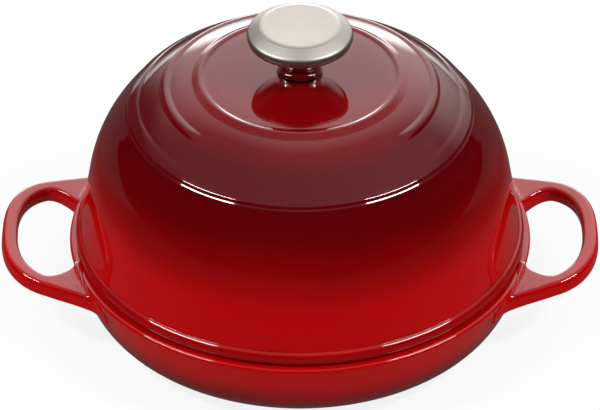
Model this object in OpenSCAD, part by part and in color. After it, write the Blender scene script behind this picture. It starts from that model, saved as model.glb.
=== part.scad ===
// Bread cloche: a shallow cast-iron pan with two loop handles, and a tall ringed dome lid with a steel knob.
// The origin is on the table under the centre of the pan. +X runs through the handles, -Y is the front.

/* [Pan] */
// Diameter over the rim
rim_d = 241; // [220:0.5:260]
// Height of the flat rim above the table
rim_z = 42.6; // [38:0.1:52]
// Width of the flat rim, from its outer edge to the inside wall
rim_w = 8.9; // [7.5:0.1:11]
// Rounding of the rim's outer edge
rim_round = 1.6; // [0.5:0.1:3]
// Radius of the flat part of the underside
foot_r = 85.5; // [78:0.5:88]
// Lean of the outer wall from upright, in degrees
pan_draft = 18; // [15:0.5:19]
// Thickness of the side wall at the bottom of the pan
pan_wall = 4.2; // [3.5:0.1:5.5]
// Thickness of the floor
floor_t = 5; // [4:0.1:7]
// Width of the ring the pan stands on
foot_w = 9; // [6:0.5:14]
// Depth of the shallow recess inside that ring
foot_recess = 0.8; // [0.4:0.1:1.5]

/* [Pan floor ribs] */
// Number of raised concentric ribs on the floor
rib_count = 5; // [3:1:6]
// Radius of the smallest rib
rib_first_r = 16; // [10:0.5:20]
// Distance from one rib to the next
rib_pitch = 14; // [11:0.5:15]
// Width of a rib at the floor
rib_w = 4; // [3:0.1:6]
// Height of a rib
rib_h = 1.4; // [0.8:0.1:2.5]

/* [Handles] */
// How far each loop stands out past the rim
handle_reach = 35; // [30:0.1:42]
// Width across the loop, outside to outside
handle_span = 96; // [84:0.5:102]
// Width of the loop's bar, seen from above
bar_w = 8.1; // [6.5:0.1:9]
// Thickness of the loop's bar, top to bottom
bar_t = 9; // [7:0.1:11]
// Rounding along the bar's edges
bar_round = 2.8; // [1:0.1:3.2]
// Upward tilt of the loops, in degrees
handle_tilt = 7; // [2:0.5:12]
// Depth of the middle of the bar below the rim, where it meets the wall
handle_drop = 5.3; // [5:0.1:8]
// Widening of the arms' outer edges where they meet the wall
flare_out = 8; // [3:0.5:10]
// Widening of the arms' inner edges where they meet the wall
flare_in = 28; // [14:0.5:30]

/* [Lid] */
// Width of the pan's rim that shows as a ledge outside the lid
rim_ledge = 3.9; // [3.4:0.1:4.4]
// Height of that band
band_h = 7.8; // [6:0.1:10]
// Rounding of the band's edges
band_round = 1.3; // [0.5:0.1:2]
// Radius of the hollow between the band and the dome wall
cove_r = 2.2; // [1:0.1:3]
// How far the band stands out past the foot of the dome wall
band_proud = 1.2; // [1:0.1:2.6]
// Lean of the dome wall from upright, in degrees
dome_draft = 9.6; // [7:0.1:11]
// Height above the rim at which the wall starts to curve in
shoulder_z = 37.8; // [30:0.1:44]
// Height of the crown above the rim
crown_z = 101.2; // [92:0.1:112]
// Radius of the crown's gentle curve
crown_r = 500; // [350:5:900]
// Thickness of the dome
dome_wall = 4; // [3.2:0.1:5]
// Depth of the locating lip below the rim
lip_depth = 3; // [2:0.1:5]
// Thickness of the locating lip
lip_w = 2.6; // [2:0.1:4]
// Height above the rim at which the lip's inner face starts to slope out to the dome wall
lip_shelf = 2; // [1:0.1:3]
// Clearance between the lip and the inside of the pan
lip_clear = 0.8; // [0.4:0.1:1.2]

/* [Crown rings] */
// Radius of the inner ring
ring1_r = 52.2; // [50:0.1:55]
// Width of the inner ring
ring1_w = 6.5; // [4:0.1:8]
// Height of the inner ring
ring1_h = 1.2; // [0.6:0.1:1.8]
// Radius of the middle ring, which is interrupted at the front
ring2_r = 69.2; // [66:0.1:72]
// Width of the middle ring
ring2_w = 5.6; // [4:0.1:7]
// Height of the middle ring
ring2_h = 1.1; // [0.6:0.1:1.6]
// Angle left bare at the front of the middle ring, in degrees
ring2_gap = 96; // [60:1:120]
// Radius of the upper bead of the outer pair
ring3_r = 85.6; // [82:0.1:88]
// Distance from the upper bead of the pair to the lower one, measured outwards
bead_step = 2.2; // [2:0.1:3]
// Width of each bead of the pair
bead_w = 3; // [2.6:0.1:3.6]
// Height of each bead of the pair
bead_h = 0.8; // [0.5:0.1:1.2]

/* [Knob] */
// Largest diameter of the cap
cap_d = 54.4; // [48:0.1:60]
// Diameter of the flat top of the cap
cap_top_d = 40.6; // [34:0.1:44]
// Height of the knob above the crown
knob_h = 28.7; // [26:0.1:34]
// Height of the cap, from its lower edge to its top
cap_h = 8.9; // [8:0.1:10]
// Height of the cap's sloping shoulder
cap_slope_h = 5.9; // [4.5:0.1:6.5]
// Depth of the dish in the cap's top
cap_dish = 0.3; // [0.1:0.05:0.6]
// Thickness of the cap's sheet
cap_wall = 1.5; // [1:0.1:2]
// Diameter of the stem's foot
stem_foot_d = 23.8; // [21:0.1:27]
// Height of the stem's foot, up to where the flare starts
stem_foot_h = 3.5; // [2.4:0.1:5]
// Depth of the waist that is turned into the stem, on each side
stem_waist = 0.4; // [0.2:0.1:1]
// Radius of the curve from the waist into the flare
stem_curve_r = 8; // [6:0.1:9]
// Thickness of the stem's rim that closes the cap
stem_rim_t = 1.4; // [1:0.1:2]
// Clearance between the stem's rim and the cap
cap_clear = 0.05; // [0.03:0.01:0.1]

/* [Knob screw] */
// Diameter of the screw's shank
screw_d = 6; // [5:0.1:8]
// Clearance round the screw in the stem's bore, on each side
screw_clear = 0.05; // [0.02:0.01:0.1]
// Diameter of the hole through the crown
crown_hole_d = 7; // [6.6:0.1:9]
// Length of screw inside the stem
screw_reach = 12; // [9:0.5:15]
// Space left past the end of the screw
bore_spare = 2; // [1:0.1:3]
// Diameter of the screw's head
head_d = 12; // [11:0.1:14]
// Height of the screw's head
head_h = 3.8; // [3:0.1:5]
// Outer diameter of the flat washer
washer_d = 18; // [16:0.1:20]
// Thickness of the flat washer
washer_t = 1.6; // [1:0.1:2]
// Outer diameter of the spring washer
spring_d = 11.8; // [10.5:0.1:13]
// Thickness of the spring washer
spring_t = 1.6; // [1.2:0.1:2]
// Clearance round the shank inside the washers, on each side
washer_clear = 0.2; // [0.1:0.05:0.3]

/* [Hidden] */
$fn = 128;

// How fast the handle arms widen towards the wall
FLARE_POWER = 1.5;
// Where that widening starts, past the rim, and how far the arms run in from the rim
FLARE_START = 12;
ARM_SUNK = 14.5;
// How far in from the rim a handle's straight arms turn into its bend
BEND_IN = 2.5;
// Squareness of the handle loops in plan: 2 is an ellipse, more is squarer
LOOP_POWER = 2.5;
// Sections of a handle along its bend and along each arm, and points round each corner of a section
BEND_STEPS = 26;
ARM_STEPS = 7;
CORNER_STEPS = 3;
// Steps of the dish in the cap's top
DISH_STEPS = 6;
// Slope of the cap's shoulder, and how far its rounded edge runs under its widest place, in degrees
CAP_SLOPE = 38;
CAP_TUCK = 40;
// Smallest rounding that the inside of the cap keeps
CAP_LEAST_ROUND = 0.3;
// Height of the stem's full-width foot, and of the taper from it to the waist
FOOT_STEP = 1;
// Angle at which the stem's curve turns into its straight flare, in degrees
STEM_FLARE = 45;
// Chamfer under the stem's rim, across and up
STEM_CHAMFER = [1, 0.4];
// Metal round the threaded bore inside the cap
BOSS_WALL = 4;
// How far the flat ground on the crown reaches past the stem's foot
PAD_MARGIN = 0.6;
// Width of the spring washer's split, and its lean in degrees
SPLIT_W = 0.8;
SPLIT_LEAN = 20;
// Width of the cross slots in the screw's head
DRIVE_W = 1.2;
// How much smaller the round ends of the middle ring are than its section
RING_END_EASE = 0.05;
// A little more than nothing, so that faces cross cleanly where solids are cut or joined
eps = 0.01;
// Larger than anything in the model
big = 400;

rim_r = rim_d / 2;
rim_in_r = rim_r - rim_w;
band_r = rim_r - rim_ledge;
dome_foot_r = band_r - band_proud;
lip_r = rim_in_r - lip_clear;

// Outer corner radius of the pan: what makes the corner meet both the flat foot and the leaning wall
pan_corner_r = (rim_r - foot_r - rim_z * tan(pan_draft))
    / (cos(pan_draft) - tan(pan_draft) * (1 - sin(pan_draft)));
// Inside corner of the pan: its radius and its centre, from which it meets the floor and runs a wall away
// from the outside
pan_in_corner_r = pan_corner_r - pan_wall;
pan_in_corner_x = foot_r + (floor_t - pan_wall) * tan(pan_draft);

// The dome's shoulder starts where the straight wall ends, and the crown is one arc that is level on the axis
shoulder_start_r = dome_foot_r - shoulder_z * tan(dome_draft);
crown_top = rim_z + crown_z;
crown_cz = crown_top - crown_r;
// Radius of the shoulder: the one arc that runs smoothly from the wall into the crown
shoulder_drop = crown_z - shoulder_z;
shoulder_r = (shoulder_drop * (2 * crown_r - shoulder_drop) - pow(shoulder_start_r, 2))
    / (2 * (crown_r - shoulder_start_r * cos(dome_draft) - (crown_r - shoulder_drop) * sin(dome_draft)));
shoulder_cx = shoulder_start_r - shoulder_r * cos(dome_draft);
shoulder_cz = rim_z + shoulder_z - shoulder_r * sin(dome_draft);
// Direction from the crown's centre to the shoulder's, and the radius at which the two arcs meet
crown_meet = atan2(shoulder_cz - crown_cz, shoulder_cx);
meet_r = crown_r * cos(crown_meet);

// The crown is ground flat under the knob
pad_r = stem_foot_d / 2 + PAD_MARGIN;
pad_z = crown_cz + sqrt(pow(crown_r, 2) - pow(pad_r, 2));
knob_top = pad_z + knob_h;
cap_r = cap_d / 2;
cap_bottom = knob_top - cap_h;
// Rounding at the cap's widest place, and where its shoulder turns into the flat top
cap_edge_r = 3.2;
cap_turn_r = 5;
stem_rim_r = cap_r - cap_wall - cap_clear;
stem_r = stem_foot_d / 2;
bore_r = screw_d / 2 + screw_clear;

// Inside of the crown, where the flat washer bears
crown_under = dome_point(washer_d / 2, -dome_wall)[1];
spring_top = crown_under - washer_t;
head_top = spring_top - spring_t;

// A point of an arc
function arc_point(cx, cz, r, a) = [cx + r * cos(a), cz + r * sin(a)];
// A point over the dome: where the surface is at a distance from the axis, and then out by a height
function dome_point(r, out) = r < meet_r
    ? arc_point(0, crown_cz, crown_r + out, acos(r / crown_r))
    : arc_point(shoulder_cx, shoulder_cz, shoulder_r + out, acos((r - shoulder_cx) / shoulder_r));
// Radius of a circle that shows as a bead of a width and a height above the surface it is sunk in
function bead_radius(w, h) = (pow(w / 2, 2) + pow(h, 2)) / (2 * h);

// A band seen in section, with rounded corners on its outer side
module rounded_band(r_in, r_out, z_low, z_high, round_low, round_high) {
    height = z_high - z_low;
    translate([r_in, z_low + round_low]) square([r_out - r_in, height - round_low - round_high]);
    translate([r_in, z_low]) square([r_out - r_in - round_low, round_low + eps]);
    translate([r_in, z_high - round_high - eps]) square([r_out - r_in - round_high, round_high + eps]);
    if (round_low > 0) translate([r_out - round_low, z_low + round_low]) circle(r = round_low);
    if (round_high > 0) translate([r_out - round_high, z_high - round_high]) circle(r = round_high);
}

// Half section of the pan's outside, filled to the axis
module pan_outline() {
    corner_end = arc_point(foot_r, pan_corner_r, pan_corner_r, -pan_draft);
    wall_top_r = corner_end[0] + (rim_z - rim_round - corner_end[1]) * tan(pan_draft);
    intersection() {
        union() {
            translate([foot_r, pan_corner_r]) circle(r = pan_corner_r);
            square([foot_r, pan_corner_r]);
            polygon([[0, pan_corner_r], [foot_r, pan_corner_r], corner_end, [wall_top_r, rim_z - rim_round],
                [rim_r - rim_round, rim_z - rim_round], [rim_r - rim_round, rim_z], [0, rim_z]]);
            translate([rim_r - rim_round, rim_z - rim_round]) circle(r = rim_round);
        }
        square([rim_r, rim_z]);
    }
}

// Half section of the space inside the pan
module pan_inside() {
    corner_z = floor_t + pan_in_corner_r;
    corner_end = arc_point(pan_in_corner_x, corner_z, pan_in_corner_r, -pan_draft);
    intersection() {
        union() {
            translate([pan_in_corner_x, corner_z]) circle(r = pan_in_corner_r);
            translate([0, floor_t]) square([pan_in_corner_x, rim_z]);
            polygon([[0, corner_z], [pan_in_corner_x, corner_z], corner_end,
                [corner_end[0] + rim_z * tan(pan_draft), corner_end[1] + rim_z], [0, corner_end[1] + rim_z]]);
        }
        translate([0, floor_t]) square([rim_in_r, rim_z]);
    }
}

loop_root_x = rim_r - BEND_IN;
loop_out_a = rim_r + handle_reach - loop_root_x;
loop_out_b = handle_span / 2;
loop_in_a = loop_out_a - bar_w;
loop_in_b = loop_out_b - bar_w;
arm_end_x = rim_r - ARM_SUNK;
arm_flare_x = rim_r + FLARE_START;

// A point of the bend, on the curve of LOOP_POWER with half axes a and b
function bend_point(a, b, t) = [
    loop_root_x + a * pow(cos(t), 2 / LOOP_POWER),
    sign(sin(t)) * b * pow(abs(sin(t)), 2 / LOOP_POWER)
];
// How far a place on an arm is on its way from where the widening starts to its end
function arm_share(x) = max(0, (arm_flare_x - x) / (arm_flare_x - arm_end_x));
// A point of an edge, moved sideways by the widening
function flared(p, side, amount) = [p[0], p[1] + side * amount * pow(arm_share(p[0]), FLARE_POWER)];
function arm_x(k) = arm_end_x + (loop_root_x - arm_end_x) * k / ARM_STEPS;
// Stations of a handle: along the lower arm, round the bend and back along the upper arm
function handle_edge(a, b, amount) = concat(
    [for (k = [0:ARM_STEPS - 1]) flared([arm_x(k), -b], -1, amount)],
    [for (k = [0:BEND_STEPS])
        let (t = -90 + 180 * k / BEND_STEPS, p = bend_point(a, b, t))
        flared(p, sign(p[1]), amount)],
    [for (k = [ARM_STEPS - 1:-1:0]) flared([arm_x(k), b], 1, amount)]
);
// Corner points of the bar's section, as shares across it and heights
function bar_section(w) = [
    for (corner = [[1, 1, 0], [-1, 1, 90], [-1, -1, 180], [1, -1, 270]])
        for (k = [0:CORNER_STEPS])
            let (a = corner[2] + 90 * k / CORNER_STEPS)
            [corner[0] * (w / 2 - bar_round) + bar_round * cos(a),
             corner[1] * (bar_t / 2 - bar_round) + bar_round * sin(a)]
];
function bar_ring(outer, inner) =
    let (w = norm(outer - inner), mid = (outer + inner) / 2, along = (outer - inner) / w)
    [for (s = bar_section(w)) [mid[0] + along[0] * s[0], mid[1] + along[1] * s[0], s[1]]];

// One loop handle, swept along its edges, with its arms still running into the pan
module handle() {
    outer = handle_edge(loop_out_a, loop_out_b, flare_out);
    inner = handle_edge(loop_in_a, loop_in_b, -flare_in);
    count = len(outer);
    per_ring = 4 * (CORNER_STEPS + 1);
    points = [for (i = [0:count - 1]) each bar_ring(outer[i], inner[i])];
    sides = [
        for (i = [0:count - 2])
            for (j = [0:per_ring - 1])
                let (a = i * per_ring + j, b = i * per_ring + (j + 1) % per_ring)
                each [[a, b, b + per_ring], [a, b + per_ring, a + per_ring]]
    ];
    first_cap = [for (j = [0:per_ring - 1]) per_ring - 1 - j];
    last_cap = [for (j = [0:per_ring - 1]) (count - 1) * per_ring + j];
    translate([rim_r, 0, rim_z - handle_drop])
        rotate([0, -handle_tilt, 0])
            translate([-rim_r, 0, 0])
                polyhedron(points = points, faces = concat(sides, [first_cap, last_cap]));
}

// Raised rib seen in section: the part of a circle that stands out of a flat floor
module rib_section(r) {
    radius = bead_radius(rib_w, rib_h);
    intersection() {
        translate([r, floor_t + rib_h - radius]) circle(r = radius);
        translate([r - rib_w, floor_t - rib_h]) square([2 * rib_w, 3 * rib_h]);
    }
}

module base_pan() color("#A81418") {
    difference() {
        union() {
            rotate_extrude() pan_outline();
            handle();
            mirror([1, 0, 0]) handle();
        }
        rotate_extrude() pan_inside();
        translate([0, 0, -eps]) cylinder(r = foot_r - foot_w, h = foot_recess + eps);
    }
    for (k = [0:rib_count - 1]) rotate_extrude() rib_section(rib_first_r + k * rib_pitch);
}

// Half section of the dome without its rings, moved in by a wall thickness, filled to the axis
module dome_outline(inset) {
    foot_x = dome_foot_r - inset / cos(dome_draft);
    wall_end = arc_point(shoulder_cx, shoulder_cz, shoulder_r - inset, dome_draft);
    meet = arc_point(0, crown_cz, crown_r - inset, crown_meet);
    intersection() {
        union() {
            translate([shoulder_cx, shoulder_cz]) circle(r = shoulder_r - inset, $fn = 360);
            polygon([[0, rim_z], [foot_x, rim_z], wall_end, [shoulder_cx, shoulder_cz], [0, shoulder_cz]]);
            intersection() {
                translate([0, crown_cz]) circle(r = crown_r - inset, $fn = 720);
                translate([0, shoulder_cz]) square([meet[0], big]);
            }
        }
        translate([0, rim_z]) square([big, big]);
    }
}

// Circle that shows as a ring of a width and height where it is sunk into the dome
module ring_circle(r, w, h) {
    radius = bead_radius(w, h);
    translate(dome_point(r, h - radius)) circle(r = radius, $fn = 64);
}

// Half section of the space under the dome
module dome_inside() {
    foot_x = dome_foot_r - dome_wall / cos(dome_draft);
    lip_in_r = lip_r - lip_w;
    difference() {
        dome_outline(dome_wall);
        polygon([[lip_in_r, rim_z - eps], [foot_x + dome_wall, rim_z - eps],
            [foot_x + dome_wall, rim_z + lip_shelf + foot_x + dome_wall - lip_in_r],
            [lip_in_r, rim_z + lip_shelf]]);
    }
}

// Hollow that runs from the top of the band into the wall
module cove() {
    wall_x = dome_foot_r - band_h * tan(dome_draft);
    difference() {
        translate([wall_x - dome_wall / 2, rim_z + band_h - eps]) square([dome_wall / 2 + cove_r, cove_r]);
        translate([wall_x + cove_r, rim_z + band_h + cove_r]) circle(r = cove_r, $fn = 48);
    }
}

module dome_lid() color("#8E0E14") {
    difference() {
        rotate_extrude($fn = 180) {
            difference() {
                union() {
                    dome_outline(0);
                    ring_circle(ring1_r, ring1_w, ring1_h);
                    ring_circle(ring2_r, ring2_w, ring2_h);
                    ring_circle(ring3_r, bead_w, bead_h);
                    ring_circle(ring3_r + bead_step, bead_w, bead_h);
                    rounded_band(shoulder_start_r, band_r, rim_z, rim_z + band_h, band_round, band_round);
                    cove();
                }
                dome_inside();
            }
            translate([lip_r - lip_w, rim_z - lip_depth]) square([lip_w, lip_depth + 2 * eps]);
        }
        middle_ring_gap();
        translate([0, 0, pad_z]) cylinder(r = pad_r, h = big);
        cylinder(d = crown_hole_d, h = big);
    }
}

// What is cut away to leave the middle ring open at the front, with round ends
module middle_ring_gap() {
    radius = bead_radius(ring2_w, ring2_h);
    end = dome_point(ring2_r, ring2_h - radius);
    difference() {
        rotate([0, 0, -90 - ring2_gap / 2])
            rotate_extrude(angle = ring2_gap, $fn = 180)
                difference() {
                    translate([ring2_r - ring2_w, end[1]]) square([2 * ring2_w, 4 * ring2_w]);
                    dome_outline(0);
                }
        for (side = [-1, 1])
            rotate([0, 0, -90 + side * ring2_gap / 2])
                translate([end[0], 0, end[1]]) sphere(r = radius - RING_END_EASE, $fn = 64);
    }
}

// Points of the cap's section from its lower edge, round its widest place and up its shoulder
function cap_profile(inset) =
    let (edge_x = cap_r - cap_edge_r, edge_z = knob_top - cap_slope_h,
        turn_x = cap_top_d / 2 - cap_turn_r * tan(CAP_SLOPE / 2), turn_z = knob_top - cap_turn_r)
    concat(
        [for (a = [-CAP_TUCK:10:90 - CAP_SLOPE])
            arc_point(edge_x, edge_z, max(cap_edge_r - inset, CAP_LEAST_ROUND), a)],
        [for (a = [90 - CAP_SLOPE:CAP_SLOPE / 4:90]) arc_point(turn_x, turn_z, cap_turn_r - inset, a)]
    );
// Points of the dished top, from its edge to the axis
function dish_profile(inset) = [
    for (k = [1:DISH_STEPS])
        let (share = 1 - k / DISH_STEPS)
        [(cap_top_d / 2 - cap_turn_r) * share, knob_top - inset - cap_dish * (1 - pow(share, 2))]
];

module cap_section(inset) {
    lower_x = cap_r - cap_edge_r + (cap_edge_r - inset) * cos(CAP_TUCK);
    polygon(concat([[0, cap_bottom], [lower_x, cap_bottom]], cap_profile(inset), dish_profile(inset)));
}

module knob_cap() color("#C9C6C1") {
    difference() {
        rotate_extrude() cap_section(0);
        rotate_extrude() cap_section(cap_wall);
        translate([0, 0, cap_bottom - eps]) cylinder(r = stem_rim_r + cap_clear, h = stem_rim_t + eps);
    }
}

module knob_stem() color("#B9B8B6") {
    waist_r = stem_r - stem_waist;
    curve_x = waist_r + stem_curve_r;
    curve_z = pad_z + stem_foot_h;
    rim_top = cap_bottom + stem_rim_t;
    boss_r = bore_r + BOSS_WALL;
    boss_top = knob_top - cap_wall - cap_dish - cap_clear;
    difference() {
        rotate_extrude() {
            difference() {
                polygon([[0, pad_z], [stem_r, pad_z], [stem_r, pad_z + FOOT_STEP],
                    [waist_r, pad_z + 2 * FOOT_STEP], [waist_r, curve_z], [curve_x, curve_z],
                    arc_point(curve_x, curve_z, stem_curve_r, 180 - STEM_FLARE),
                    [stem_rim_r - STEM_CHAMFER[0], cap_bottom - STEM_CHAMFER[1]],
                    [stem_rim_r, cap_bottom], [stem_rim_r, rim_top],
                    [boss_r, rim_top], [boss_r, boss_top], [0, boss_top]]);
                translate([curve_x, curve_z]) circle(r = stem_curve_r);
            }
        }
        translate([0, 0, pad_z - eps]) cylinder(r = bore_r, h = screw_reach + bore_spare + eps);
    }
}

module flat_washer() color("#B4B4B2") {
    translate([0, 0, crown_under - washer_t]) difference() {
        cylinder(d = washer_d, h = washer_t);
        translate([0, 0, -eps]) cylinder(r = screw_d / 2 + washer_clear, h = washer_t + 2 * eps);
    }
}

module spring_washer() color("#8F8F8E") {
    translate([0, 0, head_top]) difference() {
        cylinder(d = spring_d, h = spring_t);
        translate([0, 0, -eps]) cylinder(r = screw_d / 2 + washer_clear, h = spring_t + 2 * eps);
        rotate([SPLIT_LEAN, 0, 0]) translate([0, -SPLIT_W / 2, -big / 2]) cube([spring_d, SPLIT_W, big]);
    }
}

module knob_screw() color("#BDBDBB") {
    shank_h = pad_z + screw_reach - head_top;
    difference() {
        union() {
            translate([0, 0, head_top - head_h]) cylinder(d = head_d, h = head_h);
            translate([0, 0, head_top - eps]) cylinder(d = screw_d, h = shank_h + eps);
        }
        for (turn = [0, 90])
            rotate([0, 0, turn]) translate([-head_d / 4, -DRIVE_W / 2, head_top - head_h - eps])
                cube([head_d / 2, DRIVE_W, head_h / 2]);
    }
}

base_pan();
dome_lid();
knob_cap();
knob_stem();
flat_washer();
spring_washer();
knob_screw();
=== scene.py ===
"""Looks of a ringed bread cloche in enamelled cast iron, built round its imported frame.

Lengths are metres, angles radians, and colours sRGB hex. +X runs through the handles, -Y is the front, and
+Z is up.
"""

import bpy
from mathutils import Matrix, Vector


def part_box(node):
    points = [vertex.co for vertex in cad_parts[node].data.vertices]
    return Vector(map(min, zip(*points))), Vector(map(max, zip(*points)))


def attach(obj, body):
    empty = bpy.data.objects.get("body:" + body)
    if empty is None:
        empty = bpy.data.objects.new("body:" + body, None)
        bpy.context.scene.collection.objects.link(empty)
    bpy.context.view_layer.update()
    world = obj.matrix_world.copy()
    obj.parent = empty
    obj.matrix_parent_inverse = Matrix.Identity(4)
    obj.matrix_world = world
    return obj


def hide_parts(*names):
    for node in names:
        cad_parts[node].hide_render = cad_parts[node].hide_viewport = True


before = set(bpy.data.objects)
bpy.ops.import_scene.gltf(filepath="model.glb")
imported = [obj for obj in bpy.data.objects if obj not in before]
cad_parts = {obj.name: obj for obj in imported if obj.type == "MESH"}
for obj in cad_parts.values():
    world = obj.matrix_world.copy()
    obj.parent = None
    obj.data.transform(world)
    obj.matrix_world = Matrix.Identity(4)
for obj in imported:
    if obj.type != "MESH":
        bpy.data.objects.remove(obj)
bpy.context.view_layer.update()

import math

import bpy
import numpy as np
from bpy.props import FloatProperty, FloatVectorProperty, IntProperty, PointerProperty
from mathutils import Matrix, Vector

bl_info = {
    "name": "Enamelled bread cloche",
    "version": (1, 0, 0),
    "blender": (4, 5, 0),
    "location": "View3D > Sidebar > Cloche",
    "description": "Builds the castings, knob, finishes and studio of a ringed bread cloche",
    "category": "Add Mesh",
}

MM = 0.001
IMAGE_WIDTH = 600

# Steps round the axis of each turned piece, and the least angle between two faces that makes a crease
PAN_STEPS, LID_STEPS, KNOB_STEPS = 360, 400, 256
CREASE = math.radians(32)

# Inputs of a Map Range node, in order
RANGE = ("Value", "From Min", "From Max", "To Min", "To Max")

# Sections of the inner and the outer ring: distances from the axis in millimetres, and the slope of the skin
# against the dome there, in degrees and falling outwards. The inner ring is steep towards the knob. The
# outer one rises to a soft crest and falls away over two fine edges.
INNER_RING = [(48.7, 0), (49.1, -30), (50.3, -30), (51.2, 0), (52.2, 15), (55.0, 15), (56.0, 0)]
OUTER_RING = [(82.0, 0), (83.0, -14), (84.4, -4), (87.3, -4), (87.8, 8), (88.3, 8), (88.7, -3), (89.1, -3),
              (89.5, 8), (90.8, 6), (92.5, 4), (94.5, 0)]

# Colours by their heights above the table on the pan and above the rim on the lid, in millimetres. The lid's
# are sprayed shades; the brick low on the pan is painted shade, darkening the pan towards where it stands on
# the table
PAN_SHADES = [(0, "brick_painted_shade"), (14, "brick_painted_shade"), (30, "cherry")]
LID_SHADES = [(30, "cherry"), (47, "wine"), (63, "plum"), (76, "burgundy"), (88, "burgundy")]

# Corners of the frame's pieces, which the visible ones keep to
PAN_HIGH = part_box("base_pan")[1]
LID_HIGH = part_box("dome_lid")[1]
CAP_LOW, CAP_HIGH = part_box("knob_cap")
STEM_LOW, STEM_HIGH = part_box("knob_stem")


def length(name, value, description):
    """A length property whose default is given in metres."""
    return FloatProperty(
        name=name, description=description, default=value, min=0, unit="LENGTH", precision=5
    )


def lean(name, degrees, description):
    """An angle property whose default is given in degrees."""
    return FloatProperty(name=name, description=description, default=math.radians(degrees), unit="ROTATION")


def linear(code):
    """The linear colour of an sRGB hex code."""
    shares = [int(code[i:i + 2], 16) / 255 for i in (0, 2, 4)]
    return tuple(s / 12.92 if s <= 0.04045 else ((s + 0.055) / 1.055) ** 2.4 for s in shares)


def colour(name, code, description):
    """A colour property whose default is given as sRGB hex."""
    return FloatVectorProperty(
        name=name, description=description, default=linear(code), size=3, min=0, max=1, subtype="COLOR"
    )


class PanSizes(bpy.types.PropertyGroup):
    """Sizes of the pan and its two loop handles."""

    rim_radius: length("Rim radius", PAN_HIGH.y, "Radius over the rim")
    rim_height: length("Rim height", 42.6 * MM, "Height of the flat rim above the table")
    rim_width: length("Rim width", 8.9 * MM, "Width of the flat rim")
    rim_round: length("Rim rounding", 1.6 * MM, "Rounding of the rim's outer edge")
    mouth_round: length("Mouth rounding", 0.8 * MM, "Rounding of the rim's inner edge")
    foot_radius: length("Foot radius", 85.5 * MM, "Radius of the flat part of the underside")
    draft: lean("Wall lean", 18, "Lean of the wall from upright")
    wall: length("Wall", 4.2 * MM, "Thickness of the side wall")
    floor: length("Floor", 5 * MM, "Thickness of the floor")
    foot_width: length("Foot width", 9 * MM, "Width of the ring that the pan stands on")
    recess: length("Recess", 0.8 * MM, "Depth of the recess inside that ring")
    rib_count: IntProperty(name="Ribs", description="Raised rings on the floor", default=5, min=0)
    rib_first: length("First rib", 16 * MM, "Radius of the smallest rib")
    rib_pitch: length("Rib pitch", 14 * MM, "Distance from one rib to the next")
    rib_width: length("Rib width", 4 * MM, "Width of a rib")
    rib_height: length("Rib height", 1.4 * MM, "Height of a rib")
    handle_reach: length("Handle reach", 35 * MM, "How far a loop stands out past the rim")
    handle_span: length("Handle span", 96 * MM, "Width across a loop")
    bar_width: length("Bar width", 8.1 * MM, "Width of the loop's bar, seen from above")
    bar_thick: length("Bar thickness", 9 * MM, "Thickness of the loop's bar, top to bottom")
    bar_round: length("Bar rounding", 2.8 * MM, "Rounding along the bar's edges")
    handle_tilt: lean("Handle tilt", 7, "Upward tilt of the loops")
    handle_drop: length("Handle drop", 5.3 * MM, "Depth of the bar's middle below the rim")
    flare_out: length("Outer flare", 8 * MM, "Widening of an arm's outer edge at the wall")
    flare_in: length("Inner flare", 28 * MM, "Widening of an arm's inner edge at the wall")
    root_fillet: length("Root fillet", 4 * MM, "Fillet between an arm and the wall")
    top_fillet: length("Top fillet", 1.8 * MM, "Fillet between an arm's top and the rim")


class LidSizes(bpy.types.PropertyGroup):
    """Sizes of the dome lid and its cast rings."""

    ledge: length("Ledge", 3.9 * MM, "Width of the pan's rim that shows outside the lid")
    band_height: length("Band height", 7.3 * MM, "Height of the thick band round the rim")
    band_round: length("Band rounding", 3.6 * MM, "Rounding of the band's top edge")
    band_fall: length("Band fall", 1.3 * MM, "How far the band's top falls from the wall to its edge")
    band_under: length("Under rounding", 3 * MM, "Rounding of the band's lower edge, above the pan's rim")
    band_proud: length("Band step", 1.2 * MM, "How far the band stands out past the wall's foot")
    cove: length("Cove", 0.6 * MM, "Radius of the hollow between the band and the wall")
    draft: lean("Wall lean", 9.6, "Lean of the dome wall from upright")
    shoulder_height: length("Shoulder height", 37.8 * MM, "Height above the rim where the wall curves in")
    crown_height: length("Crown height", 101.2 * MM, "Height of the crown above the rim")
    crown_radius: length("Crown radius", 500 * MM, "Radius of the crown's gentle curve")
    wall: length("Wall", 4 * MM, "Thickness of the dome")
    lip_depth: length("Lip depth", 3 * MM, "Depth of the locating lip below the rim")
    lip_width: length("Lip width", 2.6 * MM, "Thickness of the locating lip")
    lip_clear: length("Lip clearance", 0.8 * MM, "Clearance between the lip and the pan")
    lip_shelf: length("Lip shelf", 2 * MM, "Height at which the lip slopes out to the wall")
    hole_radius: length("Hole radius", 3.5 * MM, "Radius of the hole for the knob's screw")
    ring2_radius: length("Middle ring", 69.2 * MM, "Radius of the middle ring")
    ring2_width: length("Middle ring width", 5.6 * MM, "Width of the middle ring")
    ring2_height: length("Middle ring height", 1.1 * MM, "Height of the middle ring")
    ring2_gap: lean("Middle ring gap", 92, "Angle left bare at the front of the middle ring")
    ring2_taper: lean("Middle ring taper", 9, "Angle over which the middle ring rises at each end")
    ring_soft: length("Enamel fill", 0.13 * MM, "How far enamel fills the foot of a ring")


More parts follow.
